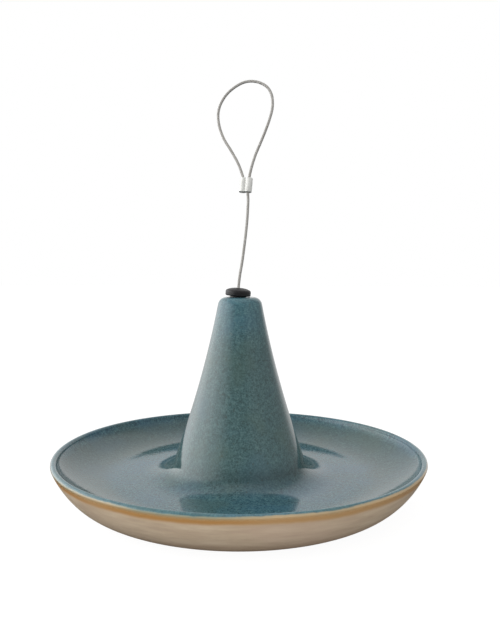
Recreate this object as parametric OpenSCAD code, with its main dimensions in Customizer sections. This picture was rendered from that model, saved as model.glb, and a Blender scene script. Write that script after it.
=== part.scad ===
// Hanging ceramic bird bath: a stoneware dish with a hollow cone in its middle, hung on a
// steel wire rope that comes up through a rubber bung and ends in a crimped loop.
// Millimetres, +Z up. The origin is the middle of the foot, on the ground.

/* [Dish] */
// Diameter over the rim
rim_d = 270; // [220:1:340]
// Height of the lip above the ground
rim_h = 36.5; // [30:0.5:60]
// Thickness of the rounded lip
lip_t = 4.4; // [3:0.1:7]
// Diameter of the foot ring
foot_d = 180; // [150:1:215]
// Width of the foot ring
foot_w = 8; // [5:0.5:14]
// Height of the basin floor above the ground
floor_h = 20; // [14:0.5:26]
// Thickness of the basin floor
floor_t = 9; // [5:0.5:12]
// Diameter at which the basin floor turns up into the wall
floor_d = 184; // [160:1:210]
// How full the outside curve is, from foot to rim
belly = 2.5; // [1.6:0.1:3.5]

/* [Cone] */
// Height of the cone's top above the ground
cone_h = 150; // [110:1:200]
// Diameter of the cone under its shoulder
cone_top_d = 32; // [31:0.5:44]
// Diameter of the cone where it starts to sweep into the floor
cone_base_d = 96; // [80:1:120]
// How far the cone's side bows in from straight
cone_bow = 2.4; // [0:0.1:6]
// Thickness of the cone's wall
cone_wall = 5; // [3.5:0.1:6]
// Thickness of the cone's top
top_t = 7; // [5:0.5:12]
// Radius of the cone's shoulder
shoulder_r = 6.5; // [3:0.5:9]
// Height above the basin floor at which the cone's side starts to sweep out
sweep_h = 10; // [6:0.5:20]
// Diameter at which the sweep meets the basin floor
sweep_d = 144; // [120:1:160]
// Diameter of the hole for the bung
hole_d = 13; // [10:0.1:15]
// Distance of the hole from the cone's middle, to the left
hole_off = 1.5; // [0:0.1:2]

/* [Bung] */
// Diameter of the bung's flange
flange_d = 18.3; // [16:0.1:24]
// Height of the bung's domed flange
flange_h = 5.7; // [4:0.1:8]
// Play between the bung's neck and the hole, on each side
neck_clear = 0.85; // [0.5:0.05:1.5]
// How much shorter the bung's neck is than the cone's top is thick
neck_short = 1; // [0:0.1:3]

/* [Wire rope and fittings] */
// Diameter of the wire rope
rope_d = 2; // [1.5:0.1:3]
// Thickness of the loop ferrule's walls
barrel_wall = 1.65; // [1.2:0.05:2]
// Length of the loop ferrule
ferrule_l = 10.5; // [8:0.5:16]
// Thickness of the stop ferrule's wall
stop_wall = 1.5; // [1.3:0.1:2.5]
// Length of the stop ferrule
stop_l = 9.5; // [7:0.5:14]
// Thickness of the steel washer
washer_t = 1; // [0.8:0.1:2]
// Play between the rope and the washer's hole, on each side
washer_clear = 1.15; // [1:0.05:1.4]

/* [Hidden] */
$fn = 96;

glaze_colour = "#55737a";
rubber_colour = "#26262a";
steel_colour = "#9a9792";
aluminium_colour = "#bcbcb6";

// Clearances
bung_clear = 0.25;  // rope to the bung's bore
bung_seat = 0.25;   // low edge of the bung's flange to the cone's top
stop_clear = 0.1;   // rope to the stop ferrule's bore
stop_seat = 0.15;   // stop ferrule's high edge to the washer
crimp_clear = 0.05; // rope to the loop ferrule's bores
washer_room = 0.5;  // washer's edge to the rounded corner of the hollow

// Small radii and step counts of the dish's outline
foot_round = 1.5;
hollow_round = 1;
curve_steps = 16;
arc_steps = 8;

rim_r = rim_d / 2;
lip_r = lip_t / 2;
foot_r = foot_d / 2;
floor_r = floor_d / 2;
underside_z = floor_h - floor_t;
hollow_top_z = cone_h - top_t;
hollow_top_r = cone_top_d / 2 - cone_wall;
neck_d = hole_d - 2 * neck_clear;
neck_l = top_t - neck_short;
washer_d = 2 * (hollow_top_r - hollow_round - hole_off - washer_room);
washer_hole_d = rope_d + 2 * washer_clear;
stop_d = rope_d + 2 * (stop_clear + stop_wall);
barrel_d = rope_d + 2 * (crimp_clear + barrel_wall);
shoulder_end = 11;  // angle of the cone's side at its shoulder

// The seat is the middle of the hole, level with the cone's top. The rope passes one
// millimetre above it and leans to the right by stem_lean.
seat = [-hole_off, 0, cone_h];
stem_lean = atan(1.2 / 19);
bung_rise = flange_d / 2 * sin(stem_lean) + bung_seat;
bung_at = seat + [0, 0, bung_rise];

// Route of the rope from its stop end to the loop ferrule, from the seat
stem_route = [
    [-1.2, 0, -18], [-0.6, 0, -8.5], [0, 0, 1], [0.3, 0, 6], [0.6, 0, 10], [1.5, 0.3, 17],
    [2.8, 1, 24.5], [3.9, 1.9, 32.5], [4.9, 2.9, 40.5], [5.8, 4, 48.5], [6.5, 5.2, 56.5],
    [6.9, 6.5, 64], [7.1, 7.8, 70.5]
];
// Middle of the loop ferrule, from the seat, and how it is turned
ferrule_at = [5.4, 9.7, 80.2];
ferrule_turn = [-12, 1, -20];
// Route of the loop in the ferrule's own frame: x across the barrels, z along them
loop_route = [
    [2.1, 0, -5.5], [2.1, 0, 0], [2.1, 0, 5.5], [3, 0, 13], [5, 0, 22], [8, 0, 31], [11, 0, 40],
    [13.5, 0, 49], [15, 0, 58], [14, 0, 66.5], [10.5, 0, 73], [5, 0, 77], [-2, 0, 79],
    [-9, 0, 78.5], [-16, 0, 75], [-22, 0, 69.5], [-26, 0, 62], [-27, 0, 54], [-25, 0, 45],
    [-20.5, 0, 35.5], [-14, 0, 26.5], [-8, 0, 17.5], [-3.8, 0, 9], [-2.1, 0, 4], [-2.1, 0, 0],
    [-2.1, 0, -4.5]
];
// The two runs of the rope in the ferrule set how far apart its barrels are
barrel_pitch = 2 * loop_route[0][0];
ferrule_up = 0.4;   // how far along the runs the ferrule's middle lies
rope_sides = 8;
rings_per_step = 2;

// Points of an arc in an outline's plane
function arc(mid, r, from, to, steps) =
    [for (i = [0:steps]) let (a = from + (to - from) * i / steps) mid + r * [cos(a), sin(a)]];

// Points of a curve from a to b, drawn towards c
function bow(a, c, b, steps) =
    [for (i = [0:steps]) let (t = i / steps) (1 - t) * (1 - t) * a + 2 * t * (1 - t) * c + t * t * b];

// The cone's side from a down to b, bowed in towards the axis
function side_pull(a, b) = (a + b) / 2 - [2 * cone_bow, 0];
function cone_side(a, b) = bow(a, side_pull(a, b), b, curve_steps);

// A quarter of a rounded curve that starts level at a and ends upright at b
function quarter(a, b, across, up) =
    [for (i = [0:curve_steps]) let (t = 90 * i / curve_steps)
        [a[0] + (b[0] - a[0]) * pow(sin(t), across), a[1] + (b[1] - a[1]) * (1 - pow(cos(t), up))]];

function reversed(points) = [for (i = [len(points) - 1:-1:0]) points[i]];

// Turns a point by the angles of rotate()
function turned(p, a) =
    let (
        x1 = p,
        x2 = [x1[0], x1[1] * cos(a[0]) - x1[2] * sin(a[0]), x1[1] * sin(a[0]) + x1[2] * cos(a[0])],
        x3 = [x2[0] * cos(a[1]) + x2[2] * sin(a[1]), x2[1], x2[2] * cos(a[1]) - x2[0] * sin(a[1])]
    )
    [x3[0] * cos(a[2]) - x3[1] * sin(a[2]), x3[0] * sin(a[2]) + x3[1] * cos(a[2]), x3[2]];

// A smooth curve from b to c, and one through all points of a route
function smooth(t, a, b, c, d) =
    0.5 * (2 * b + (c - a) * t + (2 * a - 5 * b + 4 * c - d) * t * t + (3 * b - a - 3 * c + d) * t * t * t);
function along(route, steps) =
    let (last = len(route) - 1)
    [
        for (i = [0:last - 1], k = [0:steps - 1])
            smooth(k / steps, route[max(i - 1, 0)], route[i], route[i + 1], route[min(i + 2, last)]),
        route[last]
    ];

function unit(v) = v / norm(v);

rope_route = [
    for (p = stem_route) seat + p,
    for (p = loop_route) seat + ferrule_at + turned(p, ferrule_turn)
];

// The dish, its foot and the hollow cone, fired as one piece
module bath_dish() {
    shoulder_mid = [cone_top_d / 2 - shoulder_r * cos(shoulder_end), cone_h - shoulder_r];
    shoulder = arc(shoulder_mid, shoulder_r, 90, shoulder_end, arc_steps);
    side_end = [cone_base_d / 2, floor_h + sweep_h];
    side_run = side_end - side_pull(shoulder[arc_steps], side_end);
    slope = atan2(side_run[0], -side_run[1]);
    corner = side_end + [tan(slope), -1] * sweep_h;
    under_corner = corner - [(1 - sin(slope)) / cos(slope), 1] * floor_t;
    under_start = side_end - [cos(slope), sin(slope)] * floor_t;
    sweep = bow(side_end, corner, [sweep_d / 2, floor_h], curve_steps);
    under_sweep = bow(under_start, under_corner, [sweep_d / 2, underside_z], curve_steps);
    hollow_corner = arc([hollow_top_r - hollow_round, hollow_top_z - hollow_round], hollow_round, 90, 0, 4);
    outline = concat(
        [[0, cone_h]],
        shoulder,
        cone_side(shoulder[arc_steps], side_end),
        sweep,
        quarter([floor_r, floor_h], [rim_r - lip_t, rim_h - lip_r], 1, 1.4),
        arc([rim_r - lip_r, rim_h - lip_r], lip_r, 180, 0, 2 * arc_steps),
        reversed(quarter([foot_r, foot_round], [rim_r, rim_h - lip_r], 2 / belly, 1.75)),
        arc([foot_r - foot_round, foot_round], foot_round, 0, -90, 4),
        [[foot_r - foot_w, 0], [foot_r - foot_w - underside_z / 2, underside_z]],
        reversed(under_sweep),
        reversed(cone_side(hollow_corner[4], under_start)),
        reversed(hollow_corner),
        [[0, hollow_top_z]]
    );
    color(glaze_colour)
        difference() {
            rotate_extrude() polygon(outline);
            translate([seat[0], seat[1], hollow_top_z - 1]) cylinder(d = hole_d, h = top_t + 2);
        }
}

// The black bung: a domed flange with a neck that hangs in the cone's hole
module rubber_bung() {
    bore_r = rope_d / 2 + bung_clear;
    flange_r = flange_d / 2;
    low_r = 0.9;
    high_r = 1.6;
    neck_taper = 0.25;
    neck_chamfer = 0.6;
    low_edge = arc([flange_r - low_r, low_r], low_r, -90, 0, arc_steps);
    high_edge = arc([flange_r - high_r, flange_h / 2], high_r, 0, 60, arc_steps);
    mouth = [bore_r + 0.4, flange_h];
    outline = concat(
        [[bore_r, -neck_l], [neck_d / 2 - neck_taper - neck_chamfer, -neck_l]],
        [[neck_d / 2 - neck_taper, neck_chamfer - neck_l], [neck_d / 2, 0]],
        low_edge,
        high_edge,
        bow(high_edge[arc_steps], [flange_r * 0.6, flange_h], mouth, arc_steps),
        [[bore_r, flange_h - 0.4]]
    );
    color(rubber_colour)
        translate(bung_at) rotate([0, stem_lean, 0]) rotate_extrude() polygon(outline);
}

// The washer that carries the bath, under the cone's top
module steel_washer() {
    color(steel_colour)
        translate([seat[0], seat[1], hollow_top_z - washer_t])
            difference() {
                cylinder(d = washer_d, h = washer_t);
                translate([0, 0, -1]) cylinder(d = washer_hole_d, h = washer_t + 2);
            }
}

// The sleeve crimped on the rope's lower end, which pulls up against the washer
module stop_ferrule() {
    crimp_depth = 0.35;
    crimp_w = 1.6;
    edge_drop = stop_d / 2 * sin(stem_lean);
    top_s = (top_t + washer_t + bung_rise + stop_seat + edge_drop) / cos(stem_lean);
    color(aluminium_colour)
        translate(bung_at) rotate([0, stem_lean, 0]) translate([0, 0, -top_s - stop_l])
            difference() {
                cylinder(d = stop_d, h = stop_l);
                translate([0, 0, -1]) cylinder(d = rope_d + 2 * stop_clear, h = stop_l + 2);
                for (z = [0.3, 0.7] * stop_l)
                    translate([0, 0, z])
                        rotate_extrude()
                            translate([stop_d / 2 - crimp_depth, -crimp_w / 2]) square([stop_d, crimp_w]);
            }
}

// The rope, from its stop end up through the bung, round the loop and back to the ferrule
module hanging_wire() {
    rings = along(rope_route, rings_per_step);
    last = len(rings) - 1;
    points = [
        for (i = [0:last])
            let (
                ahead = unit(rings[min(i + 1, last)] - rings[max(i - 1, 0)]),
                side = unit(cross(ahead, [0, 1, 0])),
                up = cross(side, ahead)
            )
            for (k = [0:rope_sides - 1])
                let (a = 360 * k / rope_sides)
                rings[i] + rope_d / 2 * (cos(a) * side + sin(a) * up)
    ];
    sides = [
        for (i = [0:last - 1], k = [0:rope_sides - 1])
            let (a = i * rope_sides, b = (k + 1) % rope_sides)
            [a + k, a + b, a + rope_sides + b, a + rope_sides + k]
    ];
    ends = [
        [for (k = [rope_sides - 1:-1:0]) k],
        [for (k = [0:rope_sides - 1]) last * rope_sides + k]
    ];
    color(steel_colour) polyhedron(points, concat(sides, ends));
}

// The double-barrel sleeve that closes the loop
module loop_ferrule() {
    color(aluminium_colour)
        translate(seat + ferrule_at) rotate(ferrule_turn) translate([0, 0, ferrule_up - ferrule_l / 2])
            linear_extrude(ferrule_l)
                difference() {
                    for (x = [-1, 1] * barrel_pitch / 2)
                        translate([x, 0]) circle(d = barrel_d);
                    for (x = [-1, 1] * barrel_pitch / 2)
                        translate([x, 0]) circle(d = rope_d + 2 * crimp_clear);
                }
}

bath_dish();
rubber_bung();
steel_washer();
stop_ferrule();
hanging_wire();
loop_ferrule();
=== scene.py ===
import math

import bmesh
import bpy
from mathutils import Matrix, Vector


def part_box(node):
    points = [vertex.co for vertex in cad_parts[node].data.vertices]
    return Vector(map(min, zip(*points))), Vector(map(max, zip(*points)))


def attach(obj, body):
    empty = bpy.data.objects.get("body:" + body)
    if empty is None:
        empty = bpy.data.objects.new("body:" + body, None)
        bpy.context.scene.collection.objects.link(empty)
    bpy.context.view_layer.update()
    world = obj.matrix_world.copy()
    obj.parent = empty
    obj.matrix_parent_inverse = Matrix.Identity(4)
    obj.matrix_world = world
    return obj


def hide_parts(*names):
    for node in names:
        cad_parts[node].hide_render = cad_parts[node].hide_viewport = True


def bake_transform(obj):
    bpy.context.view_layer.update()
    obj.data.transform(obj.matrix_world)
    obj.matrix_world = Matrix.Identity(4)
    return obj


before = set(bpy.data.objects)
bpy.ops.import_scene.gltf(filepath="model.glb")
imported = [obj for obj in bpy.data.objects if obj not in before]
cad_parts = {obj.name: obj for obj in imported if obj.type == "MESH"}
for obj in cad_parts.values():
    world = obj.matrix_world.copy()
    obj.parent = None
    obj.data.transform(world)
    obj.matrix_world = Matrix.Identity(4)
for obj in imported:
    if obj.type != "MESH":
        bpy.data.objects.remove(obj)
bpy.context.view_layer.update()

# A hanging bird bath: a glazed stoneware dish with a hollow cone, on a steel wire rope
# that comes up through a black rubber bung and ends in a crimped loop.
# Blender units are metres; sizes of the parts are written in millimetres and scaled by MM.

MM = 0.001
dish_low, dish_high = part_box("bath_dish")

# ---------------------------------------------------------------- sizes of the dish (mm)

RIM_R = dish_high[0] / MM
CONE_H = dish_high[2] / MM
RIM_H = 36.5
LIP_R = 2.2
FOOT_R = 90.0
FOOT_W = 8.0
FOOT_ROUND = 1.5
FLOOR_H = 20.0
FLOOR_T = 9.0
FLOOR_R = 92.0
BELLY = 2.5
CONE_TOP_R = 16.0
CONE_BASE_R = 48.0
CONE_BOW = 2.4
CONE_WALL = 5.0
TOP_T = 7.0
SHOULDER_R = 6.5
SHOULDER_END = 11.0
SWEEP_H = 10.0
SWEEP_END_R = 72.0
HOLLOW_ROUND = 1.0
HOLE_R = 6.5
HOLE_ROUND = 0.5
HOLE_OFF = 1.5

# ---------------------------------------------------------------- sizes of the fittings (mm)

ROPE_R = 1.0
ROPE_LAY = 20.0
BUNG_CLEAR = 0.25
BUNG_SEAT = 0.25
FLANGE_R = 9.15
FLANGE_H = 5.7
FLANGE_LOW_R = 0.9
FLANGE_HIGH_R = 1.6
NECK_R = 5.65
NECK_L = 6.0
WASHER_R = 8.0
WASHER_T = 1.0
WASHER_HOLE_R = 2.15
STOP_R = 2.6
STOP_L = 9.5
STOP_CLEAR = 0.1
STOP_SEAT = 0.15
BARREL_R = 2.7
BARREL_X = 2.1
FERRULE_L = 10.5
FERRULE_UP = 0.4
CRIMP_CLEAR = 0.05

# The seat is the middle of the hole, level with the cone's top. The rope leans to the
# right there, and the bung, the stop ferrule and the rope's first stretch share that axis.
SEAT = Vector((-HOLE_OFF, 0.0, CONE_H))
STEM_LEAN = math.atan(1.2 / 19)
BUNG_RISE = FLANGE_R * math.sin(STEM_LEAN) + BUNG_SEAT
BUNG_AT = SEAT + Vector((0.0, 0.0, BUNG_RISE))

# Route of the rope from its stop end to the loop ferrule, from the seat (mm)
STEM_ROUTE = [
    (-1.2, 0, -18), (-0.6, 0, -8.5), (0, 0, 1), (0.3, 0, 6), (0.6, 0, 10), (1.5, 0.3, 17),
    (2.8, 1, 24.5), (3.9, 1.9, 32.5), (4.9, 2.9, 40.5), (5.8, 4, 48.5), (6.5, 5.2, 56.5),
    (6.9, 6.5, 64), (7.1, 7.8, 70.5),
]
# Middle of the loop ferrule, from the seat, and its turns about X, Y and Z
FERRULE_AT = Vector((5.4, 9.7, 80.2))
FERRULE_TURN = (-12, 1, -20)
# Route of the loop in the ferrule's own frame: x across the barrels, z along them (mm)
LOOP_ROUTE = [
    (2.1, 0, -5.5), (2.1, 0, 0), (2.1, 0, 5.5), (3, 0, 13), (5, 0, 22), (8, 0, 31), (11, 0, 40),
    (13.5, 0, 49), (15, 0, 58), (14, 0, 66.5), (10.5, 0, 73), (5, 0, 77), (-2, 0, 79),
    (-9, 0, 78.5), (-16, 0, 75), (-22, 0, 69.5), (-26, 0, 62), (-27, 0, 54), (-25, 0, 45),
    (-20.5, 0, 35.5), (-14, 0, 26.5), (-8, 0, 17.5), (-3.8, 0, 9), (-2.1, 0, 4), (-2.1, 0, 0),
    (-2.1, 0, -4.5),
]


# ---------------------------------------------------------------- camera

CAMERA_AT = (0.0, -0.540, 0.1856)
CAMERA_PITCH = 5.5
CAMERA_YAW = 0.77
CAMERA_ROLL = 0.25
CAMERA_LENS = 42.14


def make_camera():
    data = bpy.data.cameras.new("Camera")
    data.lens = CAMERA_LENS
    data.sensor_width = 36.0
    data.clip_start = 0.01
    data.clip_end = 50.0
    camera = bpy.data.objects.new("Camera", data)
    bpy.context.collection.objects.link(camera)
    camera.matrix_world = (
        Matrix.Translation(CAMERA_AT)
        @ Matrix.Rotation(math.radians(-CAMERA_YAW), 4, "Z")
        @ Matrix.Rotation(math.radians(90 - CAMERA_PITCH), 4, "X")
        @ Matrix.Rotation(math.radians(CAMERA_ROLL), 4, "Z")
    )
    bpy.context.scene.camera = camera


# ---------------------------------------------------------------- curves and outlines (mm)

def smooth(t, a, b, c, d):
    """The point at t of the smooth curve that runs from b to c."""
    return 0.5 * (
        2 * b + (c - a) * t + (2 * a - 5 * b + 4 * c - d) * t ** 2 + (3 * b - a - 3 * c + d) * t ** 3
    )


def along(route, steps):
    """A smooth curve through all points of a route."""
    last = len(route) - 1
    points = [
        smooth(k / steps, route[max(i - 1, 0)], route[i], route[i + 1], route[min(i + 2, last)])
        for i in range(last) for k in range(steps)
    ]
    return points + [route[last]]


def arc(mid, radius, start, end, steps):
    angles = [math.radians(start + (end - start) * i / steps) for i in range(steps + 1)]
    return [(mid[0] + radius * math.cos(a), mid[1] + radius * math.sin(a)) for a in angles]


def bow(a, c, b, steps):
    """A curve from a to b, drawn towards c."""
    ts = [i / steps for i in range(steps + 1)]
    return [tuple((1 - t) ** 2 * a[k] + 2 * t * (1 - t) * c[k] + t * t * b[k] for k in (0, 1)) for t in ts]


def line(a, b, steps):
    """The points between a and b, without its ends."""
    return [(a[0] + (b[0] - a[0]) * i / steps, a[1] + (b[1] - a[1]) * i / steps) for i in range(1, steps)]


def quarter(a, b, across, up, steps):
    """A quarter of a rounded curve that starts level at a and ends upright at b."""
    ts = [math.pi / 2 * i / steps for i in range(steps + 1)]
    return [
        (a[0] + (b[0] - a[0]) * math.sin(t) ** across, a[1] + (b[1] - a[1]) * (1 - math.cos(t) ** up))
        for t in ts
    ]


def side_pull(a, b):
    """The point that draws the cone's side in towards the axis."""
    return (a[0] + b[0]) / 2 - 2 * CONE_BOW, (a[1] + b[1]) / 2


def cone_side(a, b, steps):
    return bow(a, side_pull(a, b), b, steps)


def route_point(point):
    return SEAT + Vector(point)


def loop_point(point):
    turn = Matrix.Identity(3)
    for axis, degrees in zip("XYZ", FERRULE_TURN):
        turn = Matrix.Rotation(math.radians(degrees), 3, axis) @ turn
    return SEAT + FERRULE_AT + turn @ Vector(point)


ROPE_ROUTE = [route_point(p) for p in STEM_ROUTE] + [loop_point(p) for p in LOOP_ROUTE]


# ---------------------------------------------------------------- mesh building

def new_piece(name, verts, faces, smooth_angle=40):
    mesh = bpy.data.meshes.new(name)
    mesh.from_pydata(verts, [], faces)
    mesh.validate()
    mesh.shade_smooth()
    mesh.set_sharp_from_angle(angle=math.radians(smooth_angle))
    piece = bpy.data.objects.new(name, mesh)
    bpy.context.collection.objects.link(piece)
    return piece


def lathe_faces(rings, segments):
    """Quads of a closed ring of rings."""
    faces = []
    for i in range(rings):
        low = i * segments
        high = (i + 1) % rings * segments
        for k in range(segments):
            n = (k + 1) % segments
            faces.append((low + k, high + k, high + n, low + n))
    return faces


def lathe(name, outline, segments, at=Vector((0, 0, 0)), lean=0.0):
    """A closed outline (radius, height) turned about an axis that stands at a point and leans."""
    turn = Matrix.Rotation(lean, 3, "Y")
    verts = []
    for radius, height in outline:
        for k in range(segments):
            a = 2 * math.pi * k / segments
            point = Vector((radius * math.cos(a), radius * math.sin(a), height))
            verts.append((at + turn @ point) * MM)
    return new_piece(name, verts, lathe_faces(len(outline), segments))


# ---------------------------------------------------------------- material helpers

def new_material(name):
    material = bpy.data.materials.new(name)
    material.use_nodes = True
    tree = material.node_tree
    return material, tree, tree.nodes["Principled BSDF"]


def add(tree, kind, inputs=None, **settings):
    """Adds a shader node; a socket among the inputs is linked, any other value is set."""
    made = tree.nodes.new("ShaderNode" + kind)
    for name, value in settings.items():
        setattr(made, name, value)
    for name, value in (inputs or {}).items():
        if isinstance(value, bpy.types.NodeSocket):
            tree.links.new(value, made.inputs[name])
        else:
            made.inputs[name].default_value = value
    return made


def noise(tree, where, scale, detail=2.0, roughness=0.5, distortion=0.0):
    inputs = {"Vector": where, "Scale": scale, "Detail": detail, "Roughness": roughness,
              "Distortion": distortion}
    return add(tree, "TexNoise", inputs).outputs["Fac"]


def span(tree, value, low, high, to_low=0.0, to_high=1.0):
    """Maps low..high to to_low..to_high, clamped and eased at both ends."""
    inputs = {"Value": value, "From Min": low, "From Max": high, "To Min": to_low, "To Max": to_high}
    return add(tree, "MapRange", inputs, interpolation_type="SMOOTHSTEP").outputs["Result"]


def maths(tree, operation, *values):
    return add(tree, "Math", dict(enumerate(values)), operation=operation).outputs["Value"]


def mix(tree, factor, a, b):
    """Mixes two colours, each a socket or (r, g, b)."""
    made = tree.nodes.new("ShaderNodeMix")
    made.data_type = "RGBA"
    for index, value in ((0, factor), (6, a), (7, b)):
        if isinstance(value, bpy.types.NodeSocket):
            tree.links.new(value, made.inputs[index])
        elif index == 0:
            made.inputs[index].default_value = value
        else:
            made.inputs[index].default_value = (*value, 1.0)
    return made.outputs[2]


def ramp(tree, factor, stops):
    made = add(tree, "ValToRGB", {"Fac": factor})
    elements = made.color_ramp.elements
    while len(elements) < len(stops):
        elements.new(0.5)
    for element, (position, colour) in zip(elements, stops):
        element.position = position
        element.color = (*colour, 1.0)
    return made.outputs["Color"]


def bump(tree, height, distance, strength=1.0, normal=None):
    inputs = {"Height": height, "Distance": distance, "Strength": strength}
    if normal is not None:
        inputs["Normal"] = normal
    return add(tree, "Bump", inputs).outputs["Normal"]


def finish_with(piece, material):
    piece.data.materials.clear()
    piece.data.materials.append(material)


# ---------------------------------------------------------------- the dish

DISH_SEGMENTS = 224
LIP_STEPS = 16
# The thrown dish is slightly out of round: none at this radius, in full this much further out (mm)
WOBBLE_FROM = 75
WOBBLE_OVER = 45


def dish_outline():
    """The dish's outline as (radius, height, share of the hole's offset), and the lip crest's index."""
    shoulder_mid = (CONE_TOP_R - SHOULDER_R * math.cos(math.radians(SHOULDER_END)), CONE_H - SHOULDER_R)
    shoulder = arc(shoulder_mid, SHOULDER_R, 90, SHOULDER_END, 12)
    side_end = (CONE_BASE_R, FLOOR_H + SWEEP_H)
    pull = side_pull(shoulder[-1], side_end)
    slope = math.atan2(side_end[0] - pull[0], pull[1] - side_end[1])
    corner = (CONE_BASE_R + SWEEP_H * math.tan(slope), FLOOR_H)
    sweep = bow(side_end, corner, (SWEEP_END_R, FLOOR_H), 24)
    underside_z = FLOOR_H - FLOOR_T
    under_start = (side_end[0] - FLOOR_T * math.cos(slope), side_end[1] - FLOOR_T * math.sin(slope))
    under_corner = (corner[0] - FLOOR_T * (1 - math.sin(slope)) / math.cos(slope), underside_z)
    under_sweep = bow(under_start, under_corner, (SWEEP_END_R, underside_z), 12)
    lip_mid = (RIM_R - LIP_R, RIM_H - LIP_R)
    hollow_r = CONE_TOP_R - CONE_WALL
    hollow_z = CONE_H - TOP_T
    under_side = FOOT_R - FOOT_W - underside_z / 2
    hollow_corner = arc((hollow_r - HOLLOW_ROUND, hollow_z - HOLLOW_ROUND), HOLLOW_ROUND, 90, 0, 4)
    bore_top = arc((HOLE_R + HOLE_ROUND, CONE_H - HOLE_ROUND), HOLE_ROUND, 180, 90, 4)

    outline = [(r, z, 1.0) for r, z in bore_top]
    outline += [(r, z, 0.5) for r, z in line(bore_top[-1], shoulder[0], 2)]
    inside = shoulder + cone_side(shoulder[-1], side_end, 56)[1:] + sweep[1:]
    inside += line(sweep[-1], (FLOOR_R, FLOOR_H), 12)
    inside += quarter((FLOOR_R, FLOOR_H), (RIM_R - 2 * LIP_R, lip_mid[1]), 1, 1.4, 28)
    lip = arc(lip_mid, LIP_R, 180, 0, LIP_STEPS)
    crest = len(outline) + len(inside) + LIP_STEPS // 2 - 1
    outside = lip[1:] + quarter((FOOT_R, FOOT_ROUND), (RIM_R, lip_mid[1]), 2 / BELLY, 1.75, 30)[-2::-1]
    outside += arc((FOOT_R - FOOT_ROUND, FOOT_ROUND), FOOT_ROUND, 0, -90, 5)[1:]
    outside += line(outside[-1], (FOOT_R - FOOT_W, 0), 4)
    outside += [(FOOT_R - FOOT_W + 0.2, 0.0), (FOOT_R - FOOT_W - 0.1, 0.3), (under_side, underside_z)]
    outside += line(outside[-1], under_sweep[-1], 5)
    outside += under_sweep[::-1]
    outside += cone_side(hollow_corner[-1], under_start, 24)[-2:0:-1]
    outside += hollow_corner[::-1]
    outline += [(r, z, 0.0) for r, z in inside + outside]
    outline += [(r, z, 0.5) for r, z in line(outside[-1], (HOLE_R, hollow_z), 2)]
    outline += [(HOLE_R, hollow_z, 1.0)]
    outline += [(r, z, 1.0) for r, z in line((HOLE_R, hollow_z), (HOLE_R, CONE_H - HOLE_ROUND), 3)]
    return outline, crest


def edge_distances(outline, crest):
    """Distance of each outline point from the lip's crest: negative inside, positive outside."""
    steps = [math.dist(a[:2], b[:2]) for a, b in zip(outline, outline[1:])]
    lengths = [sum(steps[:i]) for i in range(len(outline))]
    return [length - lengths[crest] for length in lengths]


def make_dish():
    outline, crest = dish_outline()
    edges = edge_distances(outline, crest)
    verts = []
    for radius, height, share in outline:
        wobble = min(max((radius - WOBBLE_FROM) / WOBBLE_OVER, 0), 1) ** 2
        for k in range(DISH_SEGMENTS):
            a = 2 * math.pi * k / DISH_SEGMENTS
            r = radius + wobble * (0.25 * math.sin(2 * a + 0.9) + 0.12 * math.sin(5 * a + 2.0))
            z = height + wobble * min(height / RIM_H, 1) * 0.25 * math.sin(3 * a + 0.4)
            verts.append(Vector((r * math.cos(a) - HOLE_OFF * share, r * math.sin(a), z)) * MM)
    dish = new_piece("glazed_dish", verts, lathe_faces(len(outline), DISH_SEGMENTS))
    edge = dish.data.attributes.new("edge_mm", "FLOAT", "POINT")
    edge.data.foreach_set("value", [e for e in edges for _ in range(DISH_SEGMENTS)])
    finish_with(dish, stoneware_material())
    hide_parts("bath_dish")
    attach(dish, "bath")


# Where the band below the lip starts and ends, from the lip's crest (mm)
BAND_START = 1.0
BAND_END = 11.0


def stoneware_material():
    material, tree, shader = new_material("glazed_stoneware")
    where = add(tree, "TexCoord").outputs["Object"]
    edge = add(tree, "Attribute", attribute_name="edge_mm").outputs["Fac"]
    glaze, mottle = glaze_colour(tree, where, edge)

    # The glaze ends in a wavering amber band below the lip, and the rest is bare clay
    waver = span(tree, noise(tree, where, 13, 2, 0.5), 0.3, 0.7, -0.6, 0.6)
    ragged = span(tree, noise(tree, where, 110, 3, 0.6), 0.3, 0.7, -0.2, 0.2)
    outside = maths(tree, "ADD", edge, maths(tree, "ADD", waver, ragged))
    band = {"Value": outside, "From Min": BAND_START, "From Max": BAND_END}
    amber = ramp(tree, add(tree, "MapRange", band).outputs["Result"], [
        (0.00, (0.20, 0.26, 0.21)), (0.19, (0.31, 0.29, 0.20)), (0.29, (0.44, 0.30, 0.15)),
        (0.44, (0.50, 0.26, 0.085)), (0.58, (0.52, 0.28, 0.10)), (0.80, (0.64, 0.47, 0.31))])
    thin = span(tree, noise(tree, where, 9, 2, 0.5), 0.42, 0.62, 0, 0.5)
    pale = mix(tree, thin, amber, (0.56, 0.38, 0.21))
    body = mix(tree, span(tree, outside, 7.5, 10.5), pale, clay_colour(tree, where))
    colour = mix(tree, span(tree, outside, 1.7, 2.8), glaze, body)
    tree.links.new(colour, shader.inputs["Base Color"])

    rough_glaze = span(tree, mottle, 0.3, 0.7, 0.07, 0.13)
    rough = maths(tree, "ADD", rough_glaze, span(tree, outside, 1.5, 8.0, 0, 0.36))
    tree.links.new(rough, shader.inputs["Roughness"])

    peel = noise(tree, where, 90, 2, 0.5)
    grit = noise(tree, where, 1300, 2, 0.6)
    skin = bump(tree, peel, 0.00012, 0.5)
    rough_skin = bump(tree, grit, 0.00005, span(tree, outside, 3.0, 9.0, 0.15, 1.0), skin)
    tree.links.new(rough_skin, shader.inputs["Normal"])
    return material


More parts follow.
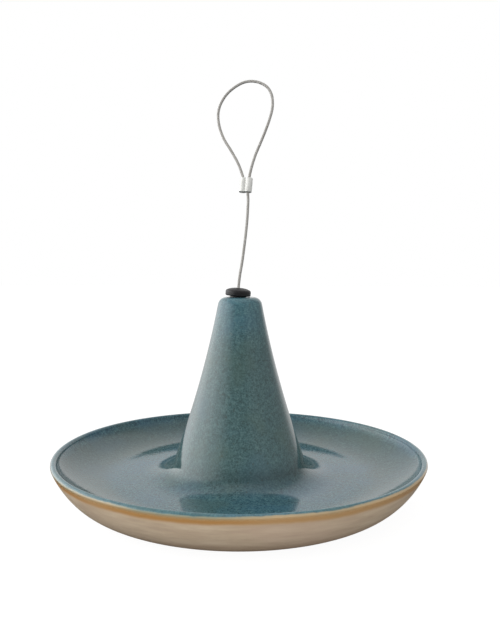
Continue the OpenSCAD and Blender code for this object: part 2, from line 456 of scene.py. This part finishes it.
def glaze_colour(tree, where, edge):
    """Reactive glaze: teal mottled with blue and grey green, paler on the lip (partly thinner glaze,
    partly a painted highlight) and on the cone's top.
    """
    fine = noise(tree, where, 900, 3, 0.7)
    mottle = noise(tree, where, 400, 4, 0.6, 0.4)
    cloud = noise(tree, where, 26, 3, 0.5, 0.3)
    grain = maths(tree, "ADD", maths(tree, "MULTIPLY", fine, 0.6), maths(tree, "MULTIPLY", mottle, 0.4))
    teal = ramp(tree, grain, [(0.39, (0.014, 0.044, 0.060)), (0.47, (0.034, 0.092, 0.116)),
                              (0.53, (0.056, 0.136, 0.160)), (0.62, (0.105, 0.205, 0.215))])
    blue = mix(tree, span(tree, cloud, 0.50, 0.68, 0, 0.4), teal, (0.040, 0.120, 0.190))
    green = mix(tree, span(tree, cloud, 0.48, 0.34, 0, 0.4), blue, (0.062, 0.110, 0.095))
    low_cone = maths(tree, "MULTIPLY", span(tree, edge, -240, -170), span(tree, edge, -72, -95))
    wall = maths(tree, "MULTIPLY", span(tree, edge, -50, -35), span(tree, edge, -3, -12))
    thin = maths(tree, "MAXIMUM", low_cone, wall)
    greener = mix(tree, maths(tree, "MULTIPLY", thin, 0.5), green, (0.066, 0.096, 0.080))
    paler = mix(tree, span(tree, edge, -175, -230, 0, 0.3), greener, (0.090, 0.200, 0.235))
    iron = noise(tree, where, 380, 2, 0.5)
    specks = mix(tree, span(tree, iron, 0.66, 0.72, 0, 0.25), paler, (0.060, 0.052, 0.030))
    # Paler band along the lip's crest: partly thinner glaze, partly a painted highlight
    lip = maths(tree, "MULTIPLY", span(tree, edge, -2.5, 0.5), 0.35)
    return mix(tree, lip, specks, (0.110, 0.210, 0.235)), mottle


def clay_colour(tree, where):
    """Fired stoneware: beige with pinkish clouds and faint streaks left by the wheel, with painted shade
    that darkens it towards the foot.
    """
    flat = add(tree, "Mapping", {"Vector": where, "Scale": (1.0, 1.0, 7.0)}).outputs["Vector"]
    streaks = noise(tree, flat, 35, 4, 0.6)
    clouds = noise(tree, where, 22, 3, 0.5)
    clay = ramp(tree, streaks, [(0.34, (0.59, 0.45, 0.32)), (0.50, (0.66, 0.52, 0.37)),
                                (0.66, (0.73, 0.59, 0.43))])
    pink = mix(tree, span(tree, clouds, 0.5, 0.7, 0, 0.4), clay, (0.67, 0.49, 0.37))
    # Painted shade: the clay turns darker and browner over the lowest 18 mm, towards the foot
    height = add(tree, "SeparateXYZ", {"Vector": where}).outputs["Z"]
    painted_foot_shade = span(tree, height, 0.018, 0.002, 0, 0.75)
    return mix(tree, painted_foot_shade, pink, (0.40, 0.26, 0.16))


# ---------------------------------------------------------------- bung, washer and stop ferrule

def make_bung():
    bore_r = ROPE_R + BUNG_CLEAR
    taper = 0.25
    chamfer = 0.6
    mouth_round = 0.45
    mouth_extra = 0.72
    edge = arc((FLANGE_R - FLANGE_LOW_R, FLANGE_LOW_R), FLANGE_LOW_R, -90, 0, 8)
    edge += arc((FLANGE_R - FLANGE_HIGH_R, FLANGE_H / 2), FLANGE_HIGH_R, 0, 60, 10)
    mouth = (bore_r + mouth_extra, FLANGE_H)
    # The bore widens upwards here, unlike in the CAD part, to clear the rope when the bung is lifted
    funnel_end = (bore_r, FLANGE_H / 3)
    outline = [(bore_r, -NECK_L + 0.2), (bore_r + 0.2, -NECK_L), (NECK_R - taper - chamfer, -NECK_L)]
    outline += arc((NECK_R - taper - chamfer, chamfer - NECK_L), chamfer, -90, 0, 6)[1:]
    outline += line(outline[-1], (NECK_R, 0), 4) + [(NECK_R, -0.3), (NECK_R + 0.3, 0)]
    outline += edge
    outline += bow(edge[-1], (FLANGE_R * 0.6, FLANGE_H), mouth, 16)[1:]
    outline += arc((mouth[0], FLANGE_H - mouth_round), mouth_round, 90, 180, 4)[1:]
    outline += line(outline[-1], funnel_end, 3) + [funnel_end]
    outline += line(outline[-1], outline[0], 5)
    bung = lathe("bung", outline, 72, BUNG_AT, STEM_LEAN)
    finish_with(bung, rubber_material())
    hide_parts("rubber_bung")
    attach(bung, "bung")


def rubber_material():
    material, tree, shader = new_material("black_rubber")
    where = add(tree, "TexCoord").outputs["Object"]
    bloom = noise(tree, where, 260, 4, 0.6)
    dust = noise(tree, where, 1400, 3, 0.7)
    base = ramp(tree, bloom, [(0.35, (0.005, 0.005, 0.006)), (0.65, (0.012, 0.011, 0.012))])
    colour = mix(tree, span(tree, dust, 0.58, 0.72, 0, 0.5), base, (0.030, 0.031, 0.032))
    tree.links.new(colour, shader.inputs["Base Color"])
    tree.links.new(span(tree, bloom, 0.3, 0.7, 0.42, 0.58), shader.inputs["Roughness"])
    tree.links.new(bump(tree, dust, 0.00005, 0.6), shader.inputs["Normal"])
    return material


def make_washer():
    edge = 0.18
    outline = []
    corners = [(WASHER_R, -WASHER_T, -90), (WASHER_R, 0, 0), (WASHER_HOLE_R, 0, 90),
               (WASHER_HOLE_R, -WASHER_T, 180)]
    for radius, height, start in corners:
        across = -edge if radius == WASHER_R else edge
        up = -edge if height == 0 else edge
        outline += arc((radius + across, height + up), edge, start, start + 90, 3)
    at = SEAT + Vector((0, 0, -TOP_T))
    washer = lathe("washer", outline, 64, at)
    finish_with(washer, steel_material("washer_steel", 300))
    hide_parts("steel_washer")
    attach(washer, "stem")


def make_stop_ferrule():
    edge = 0.35
    dent = 0.35
    bore_r = ROPE_R + STOP_CLEAR
    drop = TOP_T + WASHER_T + BUNG_RISE + STOP_SEAT + STOP_R * math.sin(STEM_LEAN)
    top = drop / math.cos(STEM_LEAN)
    outline = [(bore_r, -STOP_L / 2), (bore_r, -STOP_L + 0.15), (bore_r + 0.15, -STOP_L)]
    outline += arc((STOP_R - edge, edge - STOP_L), edge, -90, 0, 4)
    for middle in (0.7, 0.3):
        for i in range(-6, 7):
            depth = dent * (0.5 + 0.5 * math.cos(math.pi * i / 6))
            outline.append((STOP_R - depth, -STOP_L * middle + 0.15 * i))
    outline += arc((STOP_R - edge, -edge), edge, 0, 90, 4)
    outline += [(bore_r + 0.15, 0), (bore_r, -0.15)]
    turned_down = Matrix.Rotation(STEM_LEAN, 3, "Y") @ Vector((0, 0, -top))
    ferrule = lathe("stop_sleeve", outline, 48, BUNG_AT + turned_down, STEM_LEAN)
    finish_with(ferrule, aluminium_material("stop_aluminium"))
    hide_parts("stop_ferrule")
    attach(ferrule, "stem")
    return ferrule


def steel_material(name, scale):
    material, tree, shader = new_material(name)
    where = add(tree, "TexCoord").outputs["Object"]
    wear = noise(tree, where, scale, 4, 0.6)
    tree.links.new(ramp(tree, wear, [(0.35, (0.36, 0.35, 0.33)), (0.65, (0.52, 0.51, 0.48))]),
                   shader.inputs["Base Color"])
    tree.links.new(span(tree, wear, 0.3, 0.7, 0.28, 0.42), shader.inputs["Roughness"])
    tree.links.new(bump(tree, wear, 0.00002, 0.5), shader.inputs["Normal"])
    shader.inputs["Metallic"].default_value = 1.0
    return material


def aluminium_material(name):
    material, tree, shader = new_material(name)
    where = add(tree, "TexCoord").outputs["Object"]
    wear = noise(tree, where, 500, 4, 0.65)
    dull = noise(tree, where, 160, 2, 0.5)
    tree.links.new(ramp(tree, dull, [(0.35, (0.70, 0.70, 0.67)), (0.65, (0.84, 0.84, 0.81))]),
                   shader.inputs["Base Color"])
    tree.links.new(span(tree, wear, 0.3, 0.7, 0.50, 0.64), shader.inputs["Roughness"])
    tree.links.new(bump(tree, wear, 0.00003, 0.6), shader.inputs["Normal"])
    shader.inputs["Metallic"].default_value = 0.35
    return material


# ---------------------------------------------------------------- wire rope and loop ferrule

STRANDS = 12
STRAND_SIDES = 5
STRAND_DEPTH = 0.06
ROPE_STEPS = 8


def make_rope():
    """One closed tube with a shallow relief of strands, twisted along the route."""
    middle = along(ROPE_ROUTE, ROPE_STEPS)
    last = len(middle) - 1
    around = STRANDS * STRAND_SIDES
    verts = []
    twist = 0.0
    for i, point in enumerate(middle):
        if i:
            twist += (point - middle[i - 1]).length / ROPE_LAY * 2 * math.pi
        ahead = (middle[min(i + 1, last)] - middle[max(i - 1, 0)]).normalized()
        side = ahead.cross(Vector((0, 1, 0))).normalized()
        up = side.cross(ahead)
        for k in range(around):
            a = 2 * math.pi * k / around
            lobe = abs(math.sin(STRANDS * a / 2))
            r = ROPE_R - STRAND_DEPTH * (1 - lobe)
            verts.append((point + (math.cos(a + twist) * side + math.sin(a + twist) * up) * r) * MM)
    faces = lathe_faces(last + 1, around)[:last * around]
    faces = [face[::-1] for face in faces]
    faces.append(tuple(range(around))[::-1])
    faces.append(tuple(last * around + k for k in range(around)))
    rope = new_piece("wire_rope", verts, faces, 75)
    finish_with(rope, rope_material())
    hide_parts("hanging_wire")
    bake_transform(rope)


def rope_material():
    material, tree, shader = new_material("rope_steel")
    where = add(tree, "TexCoord").outputs["Object"]
    wear = noise(tree, where, 900, 3, 0.6)
    stain = noise(tree, where, 90, 3, 0.6)
    bright = ramp(tree, wear, [(0.35, (0.34, 0.33, 0.31)), (0.65, (0.48, 0.465, 0.44))])
    colour = mix(tree, span(tree, stain, 0.5, 0.7, 0, 0.4), bright, (0.31, 0.29, 0.26))
    tree.links.new(colour, shader.inputs["Base Color"])
    tree.links.new(span(tree, wear, 0.3, 0.7, 0.60, 0.72), shader.inputs["Roughness"])
    tree.links.new(bump(tree, wear, 0.00002, 0.4), shader.inputs["Normal"])
    shader.inputs["Metallic"].default_value = 0.35
    return material


SLEEVE_EDGE = 0.35
FREE_STEPS = 40
SHARED_STEPS = 8


def barrel_angles(radius):
    """Angles round a barrel: its free side, then the flat side that it shares with the other one."""
    half = math.acos(BARREL_X / radius)
    free = [half - math.pi + 2 * (math.pi - half) * i / FREE_STEPS for i in range(FREE_STEPS + 1)]
    shared = [math.pi - half + 2 * half * i / SHARED_STEPS for i in range(1, SHARED_STEPS)]
    return free, shared


def barrel_ring(radius, height):
    free, shared = barrel_angles(radius)
    ring = [(BARREL_X + radius * math.cos(a), radius * math.sin(a), height) for a in free]
    return ring + [(0, BARREL_X * math.tan(math.pi - a), height) for a in shared]


def bore_ring(height):
    free, shared = barrel_angles(BARREL_R)
    radius = ROPE_R + CRIMP_CLEAR
    return [(BARREL_X + radius * math.cos(a), radius * math.sin(a), height) for a in free + shared]


def make_loop_ferrule():
    """The double-barrel sleeve: two joined barrels with rounded ends, each with its bore."""
    half_l = FERRULE_L / 2
    corner = arc((BARREL_R - SLEEVE_EDGE, half_l - SLEEVE_EDGE), SLEEVE_EDGE, 85, 0, 5)
    side = [(radius, -height) for radius, height in corner] + corner[::-1]
    rings = [barrel_ring(radius, height) for radius, height in side]
    rings += [bore_ring(half_l), bore_ring(-half_l)]
    around = len(rings[0])
    faces = []
    for number, face in enumerate(lathe_faces(len(rings), around)):
        ring, k = divmod(number, around)
        if ring >= len(side) - 1 or k < FREE_STEPS:
            faces.append(face[::-1])
    right = [Vector(point) for ring in rings for point in ring]
    left = [Vector((-point.x, point.y, point.z)) for point in right]
    offset = len(right)
    faces += [tuple(offset + index for index in face[::-1]) for face in faces]
    up = Vector((0, 0, FERRULE_UP))
    verts = [loop_point(point + up) * MM for point in right + left]
    ferrule = new_piece("loop_sleeve", verts, faces, 50)
    weld(ferrule)
    finish_with(ferrule, aluminium_material("loop_aluminium"))
    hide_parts("loop_ferrule")
    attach(ferrule, "hanger")
    return ferrule


def weld(piece):
    """Joins points that share a place and drops points that no face uses."""
    mesh = bmesh.new()
    mesh.from_mesh(piece.data)
    bmesh.ops.delete(mesh, geom=[v for v in mesh.verts if not v.link_faces], context="VERTS")
    bmesh.ops.remove_doubles(mesh, verts=mesh.verts, dist=1e-6)
    mesh.to_mesh(piece.data)
    mesh.free()


# ---------------------------------------------------------------- floor and light

def make_floor():
    """A pale floor. Soft light from below comes from the world, so diffuse rays pass through it."""
    size = 3.0
    depth = -0.0003
    verts = [(x * size, y * size, depth) for x, y in ((-1, -1), (1, -1), (1, 1), (-1, 1))]
    floor = new_piece("studio_floor", verts, [(0, 1, 2, 3)])
    floor.visible_diffuse = False
    floor.visible_glossy = False
    material, tree, shader = new_material("studio_floor")
    shader.inputs["Base Color"].default_value = (0.12, 0.12, 0.12, 1)
    shader.inputs["Roughness"].default_value = 1.0
    shader.inputs["Specular IOR Level"].default_value = 0.0
    shader.inputs["Emission Color"].default_value = (1, 1, 1, 1)
    shader.inputs["Emission Strength"].default_value = 0.95
    finish_with(floor, material)


BACK_LIGHT = 1.0
FRONT_LIGHT = 0.15
RIGHT_LIGHT = 0.5
TOP_LIGHT = 0.7
GROUND_LIGHT = 0.08
LEFT_LIGHT = 2.2


def make_world():
    """A white studio: bright behind and to the left, dim in front, to the right and below."""
    world = bpy.data.worlds.new("studio")
    world.use_nodes = True
    bpy.context.scene.world = world
    tree = world.node_tree
    background = tree.nodes["Background"]
    direction = add(tree, "TexCoord").outputs["Generated"]
    split = add(tree, "SeparateXYZ", {"Vector": direction}).outputs
    left = maths(tree, "MULTIPLY", split["X"], -1.0)
    backward = maths(tree, "MULTIPLY_ADD", left, 0.6, split["Y"])

    ring = blend_light(tree, span(tree, split["X"], 0.1, 0.7), FRONT_LIGHT, RIGHT_LIGHT)
    ring = blend_light(tree, span(tree, backward, 0.0, 0.45), ring, BACK_LIGHT)
    ring = blend_light(tree, span(tree, split["Z"], 0.70, 0.95), ring, TOP_LIGHT)
    ring = blend_light(tree, span(tree, split["Z"], -0.05, -0.3), ring, GROUND_LIGHT)
    low_half = maths(tree, "MULTIPLY", span(tree, left, 0.3, 1.0), span(tree, split["Z"], -0.25, 0.1))
    lobe = maths(tree, "MULTIPLY", low_half, span(tree, split["Z"], 0.9, 0.55))
    surround = maths(tree, "MULTIPLY_ADD", lobe, LEFT_LIGHT, ring)

    camera_ray = add(tree, "LightPath").outputs["Is Camera Ray"]
    tree.links.new(blend_light(tree, camera_ray, surround, 1.0), background.inputs["Strength"])
    background.inputs["Color"].default_value = (1, 1, 1, 1)


def blend_light(tree, factor, a, b):
    made = add(tree, "Mix", {0: factor, 2: a, 3: b})
    return made.outputs[0]


def add_softbox(name, at, aim, width, height, power):
    """A soft area light that shows in no reflection."""
    data = bpy.data.lights.new(name, "AREA")
    data.shape = "RECTANGLE"
    data.size = width
    data.size_y = height
    data.energy = power
    light = bpy.data.objects.new(name, data)
    bpy.context.collection.objects.link(light)
    light.location = at
    light.rotation_euler = (Vector(aim) - Vector(at)).to_track_quat("-Z", "Y").to_euler()
    light.visible_camera = False
    light.visible_glossy = False


def make_lights():
    middle = (0, 0, 0.08)
    add_softbox("front_fill", (-0.4, -1.3, 0.9), middle, 1.0, 1.0, 8)
    add_softbox("low_fill", (0.4, -1.3, 0.07), (0, 0, 0.07), 1.0, 0.12, 6.5)


# ---------------------------------------------------------------- the scene

make_camera()
fittings = [make_loop_ferrule(), make_stop_ferrule()]
make_rope()
make_dish()
make_bung()
make_washer()
make_floor()
make_world()
make_lights()
bpy.context.scene.view_settings.view_transform = "Standard"
